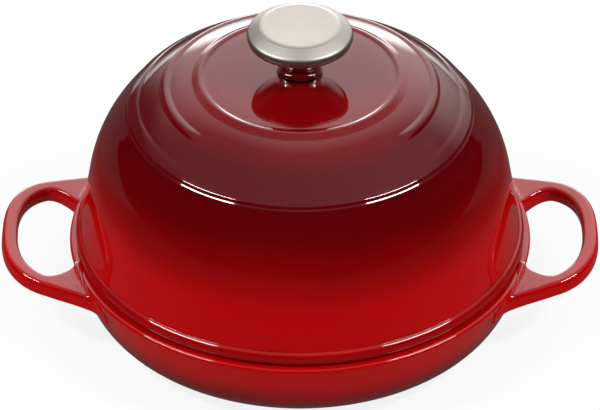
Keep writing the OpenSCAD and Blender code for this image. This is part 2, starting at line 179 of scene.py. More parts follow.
class KnobSizes(bpy.types.PropertyGroup):
    """Sizes of the knob's cap and stem."""

    cap_top_radius: length("Top radius", 20.3 * MM, "Radius of the cap's flat top")
    cap_slope_height: length("Slope height", 5.9 * MM, "Height of the cap's sloping shoulder")
    cap_slope: lean("Slope", 38, "Slope of the cap's shoulder")
    cap_tuck: lean("Tuck", 40, "How far the cap's edge runs under its widest place")
    cap_edge: length("Edge rounding", 3.2 * MM, "Rounding at the cap's widest place")
    cap_turn: length("Turn rounding", 5 * MM, "Rounding where the shoulder meets the top")
    cap_dish: length("Dish", 0.3 * MM, "Depth of the dish in the top")
    cap_wall: length("Cap wall", 1.5 * MM, "Thickness of the cap's sheet")
    stem_foot: length("Foot radius", 11.9 * MM, "Radius of the stem's foot")
    stem_foot_height: length("Foot height", 3.5 * MM, "Height of the foot, up to the flare")
    stem_waist: length("Waist", 0.4 * MM, "Depth of the waist turned into the stem")
    stem_curve: length("Curve", 8 * MM, "Radius of the curve from the waist into the flare")
    stem_rim_thick: length("Rim", 1.4 * MM, "Thickness of the rim that closes the cap")


class Finishes(bpy.types.PropertyGroup):
    """Colours of the enamels and metals, with painted shade on the lid's band and the pan's foot and painted
    light on the crown.
    """

    # Painted light: the crown is drawn lighter than the shoulder, for the light that falls on the level top
    crown: colour("Crown", "6E0306", "Enamel of the level crown")
    burgundy: colour("Burgundy", "4F0206", "Enamel of the shoulder")
    plum: colour("Plum", "580205", "Enamel at the foot of the shoulder")
    wine: colour("Wine", "7C0305", "Enamel below the shoulder, where the colour turns")
    cherry: colour("Cherry", "A30203", "Enamel of the lower dome and of the pan's rim")
    # Painted shade: the band is drawn darker than the dome's cherry above it, for the upright band that
    # faces the dark front
    garnet_painted_shade: colour("Garnet", "860304", "Enamel of the thick band round the lid's rim")
    # Painted shade: a darker red towards the pan's foot, where it stands on the table
    brick_painted_shade: colour("Brick", "620C08", "Enamel at the foot of the pan")
    black: colour("Satin black", "141213", "Enamel inside the pan and the dome")
    steel: colour("Stainless steel", "B4AFA8", "Steel of the knob")
    zinc: colour("Plain steel", "B4B4B2", "Steel of the screw and the flat washer")
    spring: colour("Spring steel", "7C7B79", "Tempered steel of the spring washer")
    paper: colour("Floor", "F4F4F4", "Paper that the cloche stands on")


def sizes(context, group):
    """One of the scene's groups of sizes or colours."""
    return getattr(context.scene, "cloche_" + group)


# Outlines are lists of (distance from the axis, height), in order from the crown outwards and down


def arc(centre, radius, start, end, steps):
    """Points of an arc between two angles."""
    return [
        (centre[0] + radius * math.cos(a), centre[1] + radius * math.sin(a))
        for a in np.linspace(start, end, steps + 1)
    ]


def rounded(corners, steps=6):
    """A path through corners given as (across, up, rounding). Its two ends stay as they are."""
    path = []
    for i, (across, up, radius) in enumerate(corners):
        at = Vector((across, up))
        if i in (0, len(corners) - 1) or radius <= 0:
            path.append(tuple(at))
            continue
        before = (Vector(corners[i - 1][:2]) - at).normalized()
        after = (Vector(corners[i + 1][:2]) - at).normalized()
        half = before.angle(after) / 2
        reach = radius / math.tan(half)
        centre = at + (before + after).normalized() * radius / math.sin(half)
        start, end = at + before * reach - centre, at + after * reach - centre
        for k in range(steps + 1):
            turn = start.slerp(end, k / steps)
            path.append(tuple(centre + turn.normalized() * radius))
    return path


def mesh_object(name, points, faces, materials, face_materials=None):
    """A smooth-shaded mesh object with its materials, and with creases kept where faces turn sharply."""
    mesh = bpy.data.meshes.new(name)
    mesh.from_pydata(points, [], faces)
    for material in materials:
        mesh.materials.append(material)
    if face_materials is not None:
        mesh.polygons.foreach_set("material_index", np.asarray(face_materials, dtype=np.int32))
    mesh.shade_smooth()
    mesh.set_sharp_from_angle(angle=CREASE)
    mesh.update()
    obj = bpy.data.objects.new(name, mesh)
    bpy.context.scene.collection.objects.link(obj)
    return obj


def revolve(outline, steps, closed, height_at=None):
    """Points and faces of an outline turned round the axis, and each face's place in the outline.
    height_at(i, turn) says how far point i of the outline moves out along its normal, all round. A point
    on the axis becomes one vertex."""
    on_axis = 1e-9
    path = np.array(outline, float)
    count = len(path)
    turn = np.arange(steps) * 2 * math.pi / steps
    ahead = np.roll(path, -1, axis=0) - path
    behind = path - np.roll(path, 1, axis=0)
    if not closed:
        ahead[-1], behind[0] = behind[-1], ahead[0]
    along = ahead / np.linalg.norm(ahead, axis=1)[:, None] + behind / np.linalg.norm(behind, axis=1)[:, None]
    along /= np.linalg.norm(along, axis=1)[:, None]
    normal = np.column_stack((-along[:, 1], along[:, 0]))
    points, rows = [], []
    for i in range(count):
        first = len(points)
        if path[i, 0] < on_axis:
            points.append((0.0, 0.0, path[i, 1]))
            rows.append([first] * steps)
            continue
        out = np.zeros(steps) if height_at is None else height_at(i, turn)
        across = path[i, 0] + normal[i, 0] * out
        up = path[i, 1] + normal[i, 1] * out
        points.extend(zip(across * np.sin(turn), -across * np.cos(turn), up))
        rows.append(list(range(first, first + steps)))
    faces, places = [], []
    for i in range(count if closed else count - 1):
        low, high = rows[i], rows[(i + 1) % count]
        for j in range(steps):
            k = (j + 1) % steps
            face = [low[j], high[j], high[k], low[k]]
            face = [v for n, v in enumerate(face) if v != face[n - 1]]
            faces.append(face)
            places.append(i)
    return points, faces, places


def join_solids(target, *others):
    """Unites closed meshes into the target, so that it is one skin."""
    for other in others:
        step = target.modifiers.new("unite", "BOOLEAN")
        step.operation = "UNION"
        step.solver = "MANIFOLD"
        step.object = other
    bpy.context.view_layer.update()
    graph = bpy.context.evaluated_depsgraph_get()
    united = bpy.data.meshes.new_from_object(target.evaluated_get(graph))
    target.modifiers.clear()
    target.data = united
    for other in others:
        bpy.data.objects.remove(other)


def pan_corner(s):
    """Radius of the pan's outer corner, which meets both the flat foot and the leaning wall."""
    lean_tan = math.tan(s.draft)
    return (s.rim_radius - s.foot_radius - s.rim_height * lean_tan) / (
        math.cos(s.draft) - lean_tan * (1 - math.sin(s.draft))
    )


def inside_limit(s, z):
    """Distance from the axis of the middle of the pan's wall at a height."""
    corner = pan_corner(s)
    if z < corner * (1 - math.sin(s.draft)):
        outer = s.foot_radius + math.sqrt(corner ** 2 - (corner - z) ** 2)
    else:
        outer = s.rim_radius - (s.rim_height - z) * math.tan(s.draft)
    return outer - s.wall / 2


def pan_outline(s):
    """The pan's section: from the middle of the floor over its ribs, up the inside, over the rim, down the
    outside and over the foot to the middle of the underside."""
    foot_edge, rim_blend, inside_bend, rib_soft = 0.3 * MM, 1.2 * MM, 8 * MM, 0.12 * MM
    foot_steps, corner_steps, rim_steps, rib_steps = 4, 24, 8, 29
    # The wall draws in a little just under the rim's rounding
    draw_in, draw_low, edge_in = 0.35 * s.rim_round, 1.1 * s.rim_round, 0.1 * s.rim_round
    lean_tan = math.tan(s.draft)
    corner = pan_corner(s)
    inner = corner - s.wall
    inner_x = s.foot_radius + (s.floor - s.wall) * lean_tan
    inner_z = s.floor + inner
    mouth = s.rim_radius - s.rim_width
    inner_end = arc((inner_x, inner_z), inner, 0, -s.draft, 1)[1]
    mouth_z = inner_end[1] + (mouth - inner_end[0]) / lean_tan
    foot_in = s.foot_radius - s.foot_width
    under = [(0, s.recess), (foot_in - 2 * foot_edge, s.recess)]
    under += rounded([(0, s.recess, 0), (foot_in, s.recess, foot_edge), (foot_in, 0, foot_edge),
                      (s.foot_radius, 0, 0)], foot_steps)[1:]
    wall = arc((s.foot_radius, corner), corner, -math.pi / 2, -s.draft, corner_steps)
    rim = rounded([
        wall[-1] + (0,),
        (s.rim_radius - draw_in, s.rim_height - draw_low, rim_blend),
        (s.rim_radius - edge_in, s.rim_height, s.rim_round),
        (mouth, s.rim_height, s.mouth_round),
        (mouth, mouth_z, inside_bend),
        inner_end + (0,),
    ], rim_steps)
    inside = arc((inner_x, inner_z), inner, -s.draft, -math.pi / 2, corner_steps)
    ribs = []
    radius = (s.rib_width ** 2 / 4 + s.rib_height ** 2) / (2 * s.rib_height)
    # Each rib is drawn a little past its foot, where the enamel fills the corner
    reach = 0.8 * s.rib_width
    for k in reversed(range(s.rib_count)):
        at = s.rib_first + k * s.rib_pitch
        for x in np.linspace(reach, -reach, rib_steps):
            rise = math.sqrt(max(radius ** 2 - x ** 2, 0)) - radius + s.rib_height
            ribs.append((at + x, s.floor + (rise + math.hypot(rise, rib_soft)) / 2))
    path = under + wall[1:] + rim[1:] + inside[1:] + ribs + [(0, s.floor)]
    return path[::-1]


def superellipse(a, b, power, t):
    """A point of a rounded loop with half axes a and b, at an angle t from -90 to 90 degrees."""
    return (
        a * max(math.cos(t), 0) ** (2 / power),
        math.copysign(b * abs(math.sin(t)) ** (2 / power), math.sin(t)),
    )


def handle_mesh(s, side):
    """Points and faces of one loop handle, with its arms flared and filleted into the pan's wall."""
    # From and to how far from the rim's edge the arms flare, and how far inside it the bend and the arms end
    flare_start, flare_end, bend_in, arm_in = 12 * MM, 14.5 * MM, 2.5 * MM, 7.1 * MM
    bend_power, flare_power = 2.5, 1.5
    bend_steps, arm_steps, corner_steps, flat_steps, stride = 110, 46, 8, 4, 0.02 * MM
    sunk = s.rim_radius - arm_in
    root = s.rim_radius - bend_in
    reach = s.rim_radius + s.handle_reach - root

    def flared(x, y, amount):
        share = max(0, (s.rim_radius + flare_start - x) / (flare_start + flare_end))
        return y + math.copysign(1, y) * amount * share ** flare_power

    def edge(a, b, amount):
        end = root
        while math.hypot(end, flared(end, b, amount)) > sunk:
            end -= stride
        arm = [root + (end - root) * k / arm_steps for k in range(arm_steps, 0, -1)]
        turns = np.linspace(-math.pi / 2, math.pi / 2, bend_steps + 1)
        bend = [superellipse(a, b, bend_power, t) for t in turns]
        lower = [(x, flared(x, -b, amount)) for x in arm]
        middle = [(root + x, flared(root + x, y, amount)) for x, y in bend]
        upper = [(x, flared(x, b, amount)) for x in reversed(arm)]
        return np.array(lower + middle + upper)

    outer = edge(reach, s.handle_span / 2, s.flare_out)
    inner = edge(reach - s.bar_width, s.handle_span / 2 - s.bar_width, -s.flare_in)

    def section(width):
        """Points round the bar with their normals, from the outer side upwards."""
        ring = []
        spots = [(1, -1, -90), (1, 1, 0), (-1, 1, 90), (-1, -1, 180)]
        for n, (sx, sz, start) in enumerate(spots):
            centre = (sx * (width / 2 - s.bar_round), sz * (s.bar_thick / 2 - s.bar_round))
            for k in range(corner_steps + 1):
                a = math.radians(start + 90 * k / corner_steps)
                ring.append((centre[0] + s.bar_round * math.cos(a), centre[1] + s.bar_round * math.sin(a),
                             math.cos(a), math.sin(a)))
            following = spots[(n + 1) % 4]
            a = math.radians(start + 90)
            end = (following[0] * (width / 2 - s.bar_round) + s.bar_round * math.cos(a),
                   following[1] * (s.bar_thick / 2 - s.bar_round) + s.bar_round * math.sin(a))
            last = ring[-1]
            for k in range(1, flat_steps):
                share = k / flat_steps
                ring.append((last[0] + (end[0] - last[0]) * share, last[1] + (end[1] - last[1]) * share,
                             math.cos(a), math.sin(a)))
        return ring

    points = []
    tilt = s.handle_tilt
    for far_side, near_side in zip(outer, inner):
        width = float(np.linalg.norm(far_side - near_side))
        along = (far_side - near_side) / width
        middle = (far_side + near_side) / 2
        for across, up, nx, nz in section(width):
            x, y, z = middle[0] + along[0] * across, middle[1] + along[1] * across, up
            n = Vector((along[0] * nx, along[1] * nx, nz))
            far = x - s.rim_radius
            x = s.rim_radius + far * math.cos(tilt) - z * math.sin(tilt)
            z = s.rim_height - s.handle_drop + far * math.sin(tilt) + z * math.cos(tilt)
            wall = s.rim_radius - (s.rim_height - z) * math.tan(s.draft)
            gap = (math.hypot(x, y) - wall) * math.cos(s.draft)
            fillet = s.root_fillet + (s.top_fillet - s.root_fillet) * max(0, nz)
            close = min(max(fillet - gap, 0), fillet)
            push = fillet - math.sqrt(fillet ** 2 - close ** 2)
            points.append((side * (x + n.x * push), y + n.y * push, z + n.z * push))
    per_ring = 4 * (corner_steps + flat_steps)
    rings = len(points) // per_ring
    faces = []
    for i in range(rings - 1):
        for j in range(per_ring):
            a, b = i * per_ring + j, i * per_ring + (j + 1) % per_ring
            faces.append((a, b, b + per_ring, a + per_ring))
    for ring in (0, rings - 1):
        first = ring * per_ring
        middle = len(points)
        points.append(tuple(np.mean(points[first:first + per_ring], axis=0)))
        for j in range(per_ring):
            a, b = first + j, first + (j + 1) % per_ring
            faces.append((a, middle, b) if ring == 0 else (b, middle, a))
    if side < 0:
        faces = [tuple(reversed(face)) for face in faces]
    return points, faces


class DomeShape:
    """The dome's arcs, worked out from the lid's sizes and the pan's rim."""

    def __init__(self, s, pan):
        self.rim_z = pan.rim_height
        self.band_r = pan.rim_radius - s.ledge
        self.foot_r = self.band_r - s.band_proud
        self.lip_r = pan.rim_radius - pan.rim_width - s.lip_clear
        self.draft = s.draft
        start_r = self.foot_r - s.shoulder_height * math.tan(s.draft)
        drop = s.crown_height - s.shoulder_height
        crown = s.crown_radius
        self.shoulder_r = (drop * (2 * crown - drop) - start_r ** 2) / (
            2 * (crown - start_r * math.cos(s.draft) - (crown - drop) * math.sin(s.draft))
        )
        self.shoulder = (
            start_r - self.shoulder_r * math.cos(s.draft),
            self.rim_z + s.shoulder_height - self.shoulder_r * math.sin(s.draft),
        )
        self.crown_r = crown
        self.crown_z = self.rim_z + s.crown_height - crown
        self.meet = math.atan2(self.shoulder[1] - self.crown_z, self.shoulder[0])

    def angle_at(self, r):
        """Direction from the shoulder's centre to the point of the shoulder at a distance from the axis."""
        return math.acos((r - self.shoulder[0]) / self.shoulder_r)

    def wall_x(self, z, inset):
        """Distance from the axis of the straight wall at a height."""
        return self.foot_r - inset / math.cos(self.draft) - (z - self.rim_z) * math.tan(self.draft)


def lid_outline(s, d, pad_r, pad_z):
    """The lid's section as stretches of points, each with the finish it takes: 0 outside, 1 inside."""
    dome_step, middle_step, inner_step, outer_step = 1.4 * MM, 0.26 * MM, 0.2 * MM, 0.13 * MM
    lip_root, lip_seat, lip_round = 1.5 * MM, 0.3 * MM, 0.9 * MM
    shelf_round, slope_round = 1 * MM, 2.5 * MM
    crown_steps, band_steps, inside_steps, ceiling_steps = 16, 10, 60, 20
    crown = [(pad_r, pad_z)]
    start = math.acos(pad_r / d.crown_r)
    crown += arc((0, d.crown_z), d.crown_r, start, d.meet, crown_steps)
    # The skin has close rows of points under each ring and wide ones between them
    rings = [(d.angle_at(s.ring2_radius), s.ring2_width / d.shoulder_r, middle_step)]
    for section, step in ((INNER_RING, inner_step), (OUTER_RING, outer_step)):
        first, last = (d.angle_at(section[k][0] * MM) for k in (0, -1))
        rings.append(((first + last) / 2, (first - last) / 2, step))
    stops = list(np.arange(d.meet, s.draft, -dome_step / d.shoulder_r))
    for middle, reach, step in rings:
        stops = [a for a in stops if abs(a - middle) > reach]
        stops += list(np.arange(middle - reach, middle + reach, step / d.shoulder_r))
    stops = sorted(stops, reverse=True) + [s.draft]
    shoulder = [arc(d.shoulder, d.shoulder_r, a, a, 0)[0] for a in stops if a <= d.meet]
    top = d.rim_z + s.band_height
    lip_out, lip_in = d.lip_r + lip_root, d.lip_r - s.lip_width
    lip_low, shelf = d.rim_z - s.lip_depth, d.rim_z + s.lip_shelf
    foot = rounded([
        shoulder[-1] + (0,),
        (d.wall_x(top, 0), top, s.cove),
        (d.band_r, top - s.band_fall, s.band_round),
        (d.band_r, d.rim_z, s.band_under),
        (lip_out, d.rim_z, 0),
    ], band_steps)
    lip = rounded([
        (lip_out, d.rim_z, 0),
        (d.lip_r, d.rim_z, lip_seat),
        (d.lip_r, lip_low, lip_round),
        (lip_in, lip_low, lip_round),
        (lip_in, shelf - lip_root, 0),
    ])
    rise = d.foot_r - s.wall / math.cos(s.draft) - lip_in
    slope_z = shelf + rise / (1 + math.tan(s.draft))
    inner_r = d.shoulder_r - s.wall
    wall_end = arc(d.shoulder, inner_r, s.draft, s.draft, 0)[0]
    inside = rounded([
        (lip_in, shelf - lip_root, 0),
        (lip_in, shelf, shelf_round),
        (d.wall_x(slope_z, s.wall), slope_z, slope_round),
        wall_end + (0,),
    ])
    inside += arc(d.shoulder, inner_r, s.draft, d.meet, inside_steps)[1:]
    hole_start = math.acos(s.hole_radius / (d.crown_r - s.wall))
    inside += arc((0, d.crown_z), d.crown_r - s.wall, d.meet, hole_start, ceiling_steps)[1:]
    hole = [(s.hole_radius, pad_z)]
    return [(crown + shoulder[1:] + foot[1:], 0), (lip[1:] + inside[1:], 1), (hole, 0)]


def bead(distance, width, height):
    """Height of a cast ring at a distance from its middle line: a round cap that falls on past its foot."""
    radius = (width ** 2 / 4 + height ** 2) / (2 * height)
    return np.sqrt(np.maximum(radius ** 2 - distance ** 2, 0)) - radius + height


def ring_section(d, angle, section):
    """Height of a ring at angles of the dome's shoulder, summed up from the slopes of its skin."""
    step = 0.02 * MM
    places = [-d.angle_at(radius * MM) * d.shoulder_r for radius, _ in section]
    grid = np.arange(places[0], places[-1], step)
    slopes = np.interp(grid, places, [slope for _, slope in section])
    rise = -np.cumsum(np.tan(np.radians(slopes))) * step
    rise -= rise[-1] * np.linspace(0, 1, len(grid))
    return np.interp(-angle * d.shoulder_r, grid, rise, left=0, right=0)


def ring_heights(s, d, path):
    """A function of a place on the outline and a turn, which gives how high the cast rings stand there."""
    close, fade_depth, fade_width = 0.01 * MM, 0.7 * MM, 0.5 * MM
    places = np.array(path, float)
    centre = np.array(d.shoulder)
    angle = np.arctan2(places[:, 1] - centre[1], places[:, 0] - centre[0])
    off_skin = np.abs(np.linalg.norm(places - centre, axis=1) - d.shoulder_r)
    on_dome = (places[:, 1] > d.shoulder[1]) & (off_skin < close)
    away = (angle - d.angle_at(s.ring2_radius)) * d.shoulder_r
    whole = ring_section(d, angle, INNER_RING) + ring_section(d, angle, OUTER_RING)

    def soften(rise):
        """The enamel fills the foot of the ring, and its fill fades away into the dome."""
        soft = np.where(rise > -fade_depth, (rise + np.hypot(rise, s.ring_soft)) / 2, 0)
        return soft * np.clip((rise + fade_depth) / fade_width, 0, 1)

    def height_at(i, turn):
        if not on_dome[i]:
            return np.zeros(len(turn))
        from_front = np.abs((turn + math.pi) % (2 * math.pi) - math.pi)
        share = np.clip((from_front - s.ring2_gap / 2) / s.ring2_taper, 0, 1)
        middle = soften(bead(away[i], s.ring2_width, s.ring2_height))
        return middle * share ** 2 * (3 - 2 * share) + whole[i]

    return height_at


def cap_outline(s):
    """The cap's section: from the middle of its dished top, over shoulder and edge, and back inside."""
    dish_steps, turn_steps, edge_steps, lip_steps = 12, 10, 18, 4
    lip_out, lip_in, outer_round, inner_round = 0.6 * MM, 0.8 * MM, 0.35 * MM, 0.2 * MM
    radius, top, low = CAP_HIGH.x, CAP_HIGH.z, CAP_LOW.z
    edge = (radius - s.cap_edge, top - s.cap_slope_height)
    turn = (s.cap_top_radius - s.cap_turn * math.tan(s.cap_slope / 2), top - s.cap_turn)
    quarter = math.pi / 2

    def skin(inset):
        shares = [k / dish_steps for k in range(dish_steps)]
        dish = [(turn[0] * share, top - inset - s.cap_dish * (1 - share ** 2)) for share in shares]
        shoulder = arc(turn, s.cap_turn - inset, quarter, quarter - s.cap_slope, turn_steps)
        side = arc(edge, s.cap_edge - inset, quarter - s.cap_slope, -s.cap_tuck, edge_steps)
        return dish + shoulder + side

    outside, inside = skin(0), skin(s.cap_wall)
    foot, inner_foot = outside[-1][0], inside[-1][0]
    lip = rounded([(foot, low + lip_out, 0), (foot, low, outer_round),
                   (inner_foot, low, inner_round), (inner_foot, low + lip_in, 0)], lip_steps)
    return outside + lip + inside[::-1]


def stem_outline(s):
    """The stem's section: from the middle of its top, hidden in the cap, round its rim and to the foot."""
    # How far the neck lies in from the rim and below it, and the tops of the foot's bead and of its slope
    neck_in, neck_low, bead_top, waist_low = 1 * MM, 0.4 * MM, 1 * MM, 2 * MM
    rim_round, rim_edge, neck_round = 0.2 * MM, 0.25 * MM, 1.2 * MM
    waist_round, bead_round, foot_round = 0.8 * MM, 0.4 * MM, 0.2 * MM
    flare_steps = 20
    low, top, rim = STEM_LOW.z, CAP_LOW.z, STEM_HIGH.x
    waist = s.stem_foot - s.stem_waist
    curve = (waist + s.stem_curve, low + s.stem_foot_height)
    flare = arc(curve, s.stem_curve, math.radians(135), math.pi, flare_steps)
    upper = rounded([
        (0, top + s.stem_rim_thick, 0),
        (rim, top + s.stem_rim_thick, rim_round),
        (rim, top, rim_edge),
        (rim - neck_in, top - neck_low, neck_round),
        flare[0] + (0,),
    ])
    foot = rounded([
        flare[-1] + (0,),
        (waist, low + waist_low, waist_round),
        (s.stem_foot, low + bead_top, bead_round),
        (s.stem_foot, low, foot_round),
        (0, low, 0),
    ])
    return upper + flare[1:] + foot[1:]


def add_node(tree, kind, inputs=(), **settings):
    """Adds a node, sets it up and fills its inputs: with plain values, or with links from a socket or from a
    node's first output in use."""
    node = tree.nodes.new("ShaderNode" + kind)
    for name, value in settings.items():
        setattr(node, name, value)
    for socket, value in dict(inputs).items():
        if isinstance(value, bpy.types.Node):
            value = next(output for output in value.outputs if output.enabled)
        if isinstance(value, bpy.types.NodeSocket):
            tree.links.new(value, node.inputs[socket])
        else:
            node.inputs[socket].default_value = value
    return node


def new_material(name):
    """An empty node material and its tree."""
    material = bpy.data.materials.new(name)
    material.use_nodes = True
    material.node_tree.nodes.clear()
    return material, material.node_tree


def opaque(rgb, share=1.0):
    """A colour with full alpha, made darker or paler by a share."""
    return (*(min(c * share, 1) for c in rgb), 1.0)


def ombre_enamel(name, stops):
    """Vitreous enamel, sprayed on cast iron and fired: glass with faint waves that bend its reflections. The
    colours run into each other up the piece, and the speckle of the spray breaks their edges. The stops are
    pairs of a height and a colour, from the lowest up; besides sprayed colours they hold painted shade and
    painted light."""
    # Spacing of the spray's clouds and specks, and how far each can move a colour on the piece
    cloud_size, speck_size, cloud_shift, speck_shift = 45 * MM, 1.4 * MM, 9 * MM, 5 * MM
    # Spacing and depth of the waves in the glass and of its finer orange peel
    wave_size, peel_size, wave_depth, peel_depth = 16 * MM, 2.4 * MM, 0.05 * MM, 0.004 * MM
    material, tree = new_material(name)
    place = add_node(tree, "TexCoord").outputs["Object"]
    height = add_node(tree, "SeparateXYZ", {"Vector": place}).outputs["Z"]
    clouds = add_node(tree, "TexNoise", {"Vector": place, "Scale": 1 / cloud_size, "Detail": 2.0})
    specks = add_node(tree, "TexNoise", {"Vector": place, "Scale": 1 / speck_size, "Detail": 2.0})
    moved = add_node(tree, "Math", {0: clouds, 1: cloud_shift, 2: height}, operation="MULTIPLY_ADD")
    moved = add_node(tree, "Math", {0: specks, 1: speck_shift, 2: moved}, operation="MULTIPLY_ADD")
    # Both noises are a half on average, which adds half of each shift to the height
    added = (cloud_shift + speck_shift) / 2
    low, high = stops[0][0], stops[-1][0]
    share = add_node(tree, "MapRange",
                     {"Value": moved, "From Min": low + added, "From Max": high + added})
    ramp = add_node(tree, "ValToRGB", {"Fac": share})
    while len(ramp.color_ramp.elements) < len(stops):
        ramp.color_ramp.elements.new(0.5)
    for element, (z, rgb) in zip(ramp.color_ramp.elements, stops):
        element.position = (z - low) / (high - low)
        element.color = opaque(rgb)
    waves = add_node(tree, "TexNoise", {"Vector": place, "Scale": 1 / wave_size, "Detail": 1.0})
    peel = add_node(tree, "TexNoise", {"Vector": place, "Scale": 1 / peel_size, "Detail": 1.0})
    rough = add_node(tree, "MapRange", {"Value": waves, "To Min": 0.035, "To Max": 0.075})
    broad = add_node(tree, "Bump", {"Height": waves, "Strength": 1.0, "Distance": wave_depth})
    fine = add_node(tree, "Bump",
                    {"Height": peel, "Strength": 1.0, "Distance": peel_depth, "Normal": broad})
    shader = add_node(tree, "BsdfPrincipled",
                      {"Base Color": ramp, "Roughness": rough, "IOR": 1.54, "Normal": fine})
    add_node(tree, "OutputMaterial", {"Surface": shader})
    return material


def satin_enamel(name, rgb):
    """Black interior enamel, fired matt, which spreads highlights softly. The grain of its spray is too fine
    to show, and is drawn coarser."""
    grain_size, grain_depth, cloud_size = 0.9 * MM, 0.04 * MM, 30 * MM
    material, tree = new_material(name)
    place = add_node(tree, "TexCoord").outputs["Object"]
    grain = add_node(tree, "TexNoise", {"Vector": place, "Scale": 1 / grain_size, "Detail": 3.0})
    clouds = add_node(tree, "TexNoise", {"Vector": place, "Scale": 1 / cloud_size, "Detail": 2.0})
    tint = add_node(tree, "Mix", {"Factor": clouds, "A": opaque(rgb), "B": opaque(rgb, 1.9)},
                    data_type="RGBA")
    rough = add_node(tree, "MapRange", {"Value": grain, "To Min": 0.34, "To Max": 0.5})
    bump = add_node(tree, "Bump", {"Height": grain, "Strength": 0.6, "Distance": grain_depth})
    shader = add_node(tree, "BsdfPrincipled",
                      {"Base Color": tint, "Roughness": rough, "IOR": 1.5, "Normal": bump})
    add_node(tree, "OutputMaterial", {"Surface": shader})
    return material


def turned_steel(name, rgb, roughness, mark, depth, anisotropy=0.0):
    """Stainless steel finished on a lathe: fine marks run round the axis, so highlights fan out from it.
    Real marks are too fine to show, and are drawn further apart."""
    blot_size = 7 * MM
    # Two noises multiplied lie mostly between these
    noise_low, noise_high = 0.1, 0.45
    material, tree = new_material(name)
    place = add_node(tree, "TexCoord").outputs["Object"]
    parts = add_node(tree, "SeparateXYZ", {"Vector": place})
    flat = add_node(tree, "CombineXYZ", {"X": parts.outputs["X"], "Y": parts.outputs["Y"]})
    away = add_node(tree, "VectorMath", {0: flat}, operation="LENGTH")
    across = add_node(tree, "CombineXYZ", {"X": away, "Y": parts.outputs["Z"]})
    marks = add_node(tree, "TexNoise",
                     {"Vector": across, "Scale": 1 / mark, "Detail": 3.0, "Roughness": 0.7})
    blots = add_node(tree, "TexNoise", {"Vector": place, "Scale": 1 / blot_size, "Detail": 3.0})
    mixed = add_node(tree, "Math", {0: marks, 1: blots}, operation="MULTIPLY")
    rough = add_node(tree, "MapRange", dict(zip(RANGE, (mixed, noise_low, noise_high, *roughness))))
    tint = add_node(tree, "Mix", {"Factor": marks, "A": opaque(rgb, 0.9), "B": opaque(rgb, 1.08)},
                    data_type="RGBA")
    bump = add_node(tree, "Bump", {"Height": marks, "Strength": 1.0, "Distance": depth})
    tangent = add_node(tree, "Tangent", direction_type="RADIAL", axis="Z")
    shader = add_node(tree, "BsdfPrincipled",
                      {"Base Color": tint, "Roughness": rough, "Normal": bump, "Tangent": tangent,
                       "Metallic": 1.0, "Anisotropic": anisotropy})
    add_node(tree, "OutputMaterial", {"Surface": shader})
    return material


def finish_cad_node(name, material):
    """Gives a CAD node that stays in view its material."""
    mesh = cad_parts[name].data
    mesh.materials.clear()
    mesh.materials.append(material)


class CLOCHE_OT_pan(bpy.types.Operator):
    """Build the pan with its two loop handles as one casting"""

    bl_idname = "cloche.pan"
    bl_label = "Pan"

    def execute(self, context):
        s, paint = sizes(context, "pan"), sizes(context, "finishes")
        # The brick low on the pan is painted shade at its foot
        shades = [(z * MM, getattr(paint, name)) for z, name in PAN_SHADES]
        outside = ombre_enamel("vitreous_enamel_pan", shades + [(s.rim_height, paint.cherry)])
        inside = satin_enamel("satin_black_enamel_pan", paint.black)
        points, faces, _ = revolve(pan_outline(s), PAN_STEPS, closed=False)
        pan = mesh_object("pan_casting", points, faces, [outside, inside])
        loops = [mesh_object("loop", *handle_mesh(s, side), [outside]) for side in (-1, 1)]
        join_solids(pan, *loops)
        mesh = pan.data
        # The black faces lie over the floor, inside the middle of the wall and of the mouth's rounding
        lowest = s.floor - 0.1 * MM
        mouth = s.rim_radius - s.rim_width + s.mouth_round / 2
        black = [
            int(z > lowest and math.hypot(x, y) < min(mouth, inside_limit(s, z)))
            for x, y, z in (face.center for face in mesh.polygons)
        ]
        mesh.polygons.foreach_set("material_index", black)
        mesh.shade_smooth()
        mesh.set_sharp_from_angle(angle=CREASE)
        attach(pan, "pan")
        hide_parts("base_pan")
        return {"FINISHED"}


class CLOCHE_OT_lid(bpy.types.Operator):
    """Build the dome lid with its cast rings, rim band and locating lip"""

    bl_idname = "cloche.lid"
    bl_label = "Lid"

    def execute(self, context):
        s, pan, paint = (sizes(context, group) for group in ("lid", "pan", "finishes"))
        knob = sizes(context, "knob")
        d = DomeShape(s, pan)
        band_top, blur = d.rim_z + s.band_height, 2 * MM
        # The band takes the darker garnet as painted shade on the upright band
        shades = [(d.rim_z, paint.garnet_painted_shade), (band_top - blur, paint.garnet_painted_shade), (band_top + blur, paint.cherry)]
        shades += [(d.rim_z + z * MM, getattr(paint, name)) for z, name in LID_SHADES]
        # The lighter crown colour is painted light on the level top
        outside = ombre_enamel("vitreous_enamel_lid", shades + [(LID_HIGH.z, paint.crown)])
        inside = satin_enamel("satin_black_enamel_lid", paint.black)
        # The flat that the knob stands on is a little wider than its foot
        pad_r = knob.stem_foot + 0.6 * MM
        stretches = lid_outline(s, d, pad_r, STEM_LOW.z)
        path = [p for points, _ in stretches for p in points]
        finish_of = [mark for points, mark in stretches for _ in points]
        points, faces, places = revolve(path, LID_STEPS, True, ring_heights(s, d, path))
        marks = [finish_of[(i + 1) % len(path)] for i in places]
        lid = mesh_object("dome_casting", points, faces, [outside, inside], marks)
        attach(lid, "lid")
        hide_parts("dome_lid")
        return {"FINISHED"}


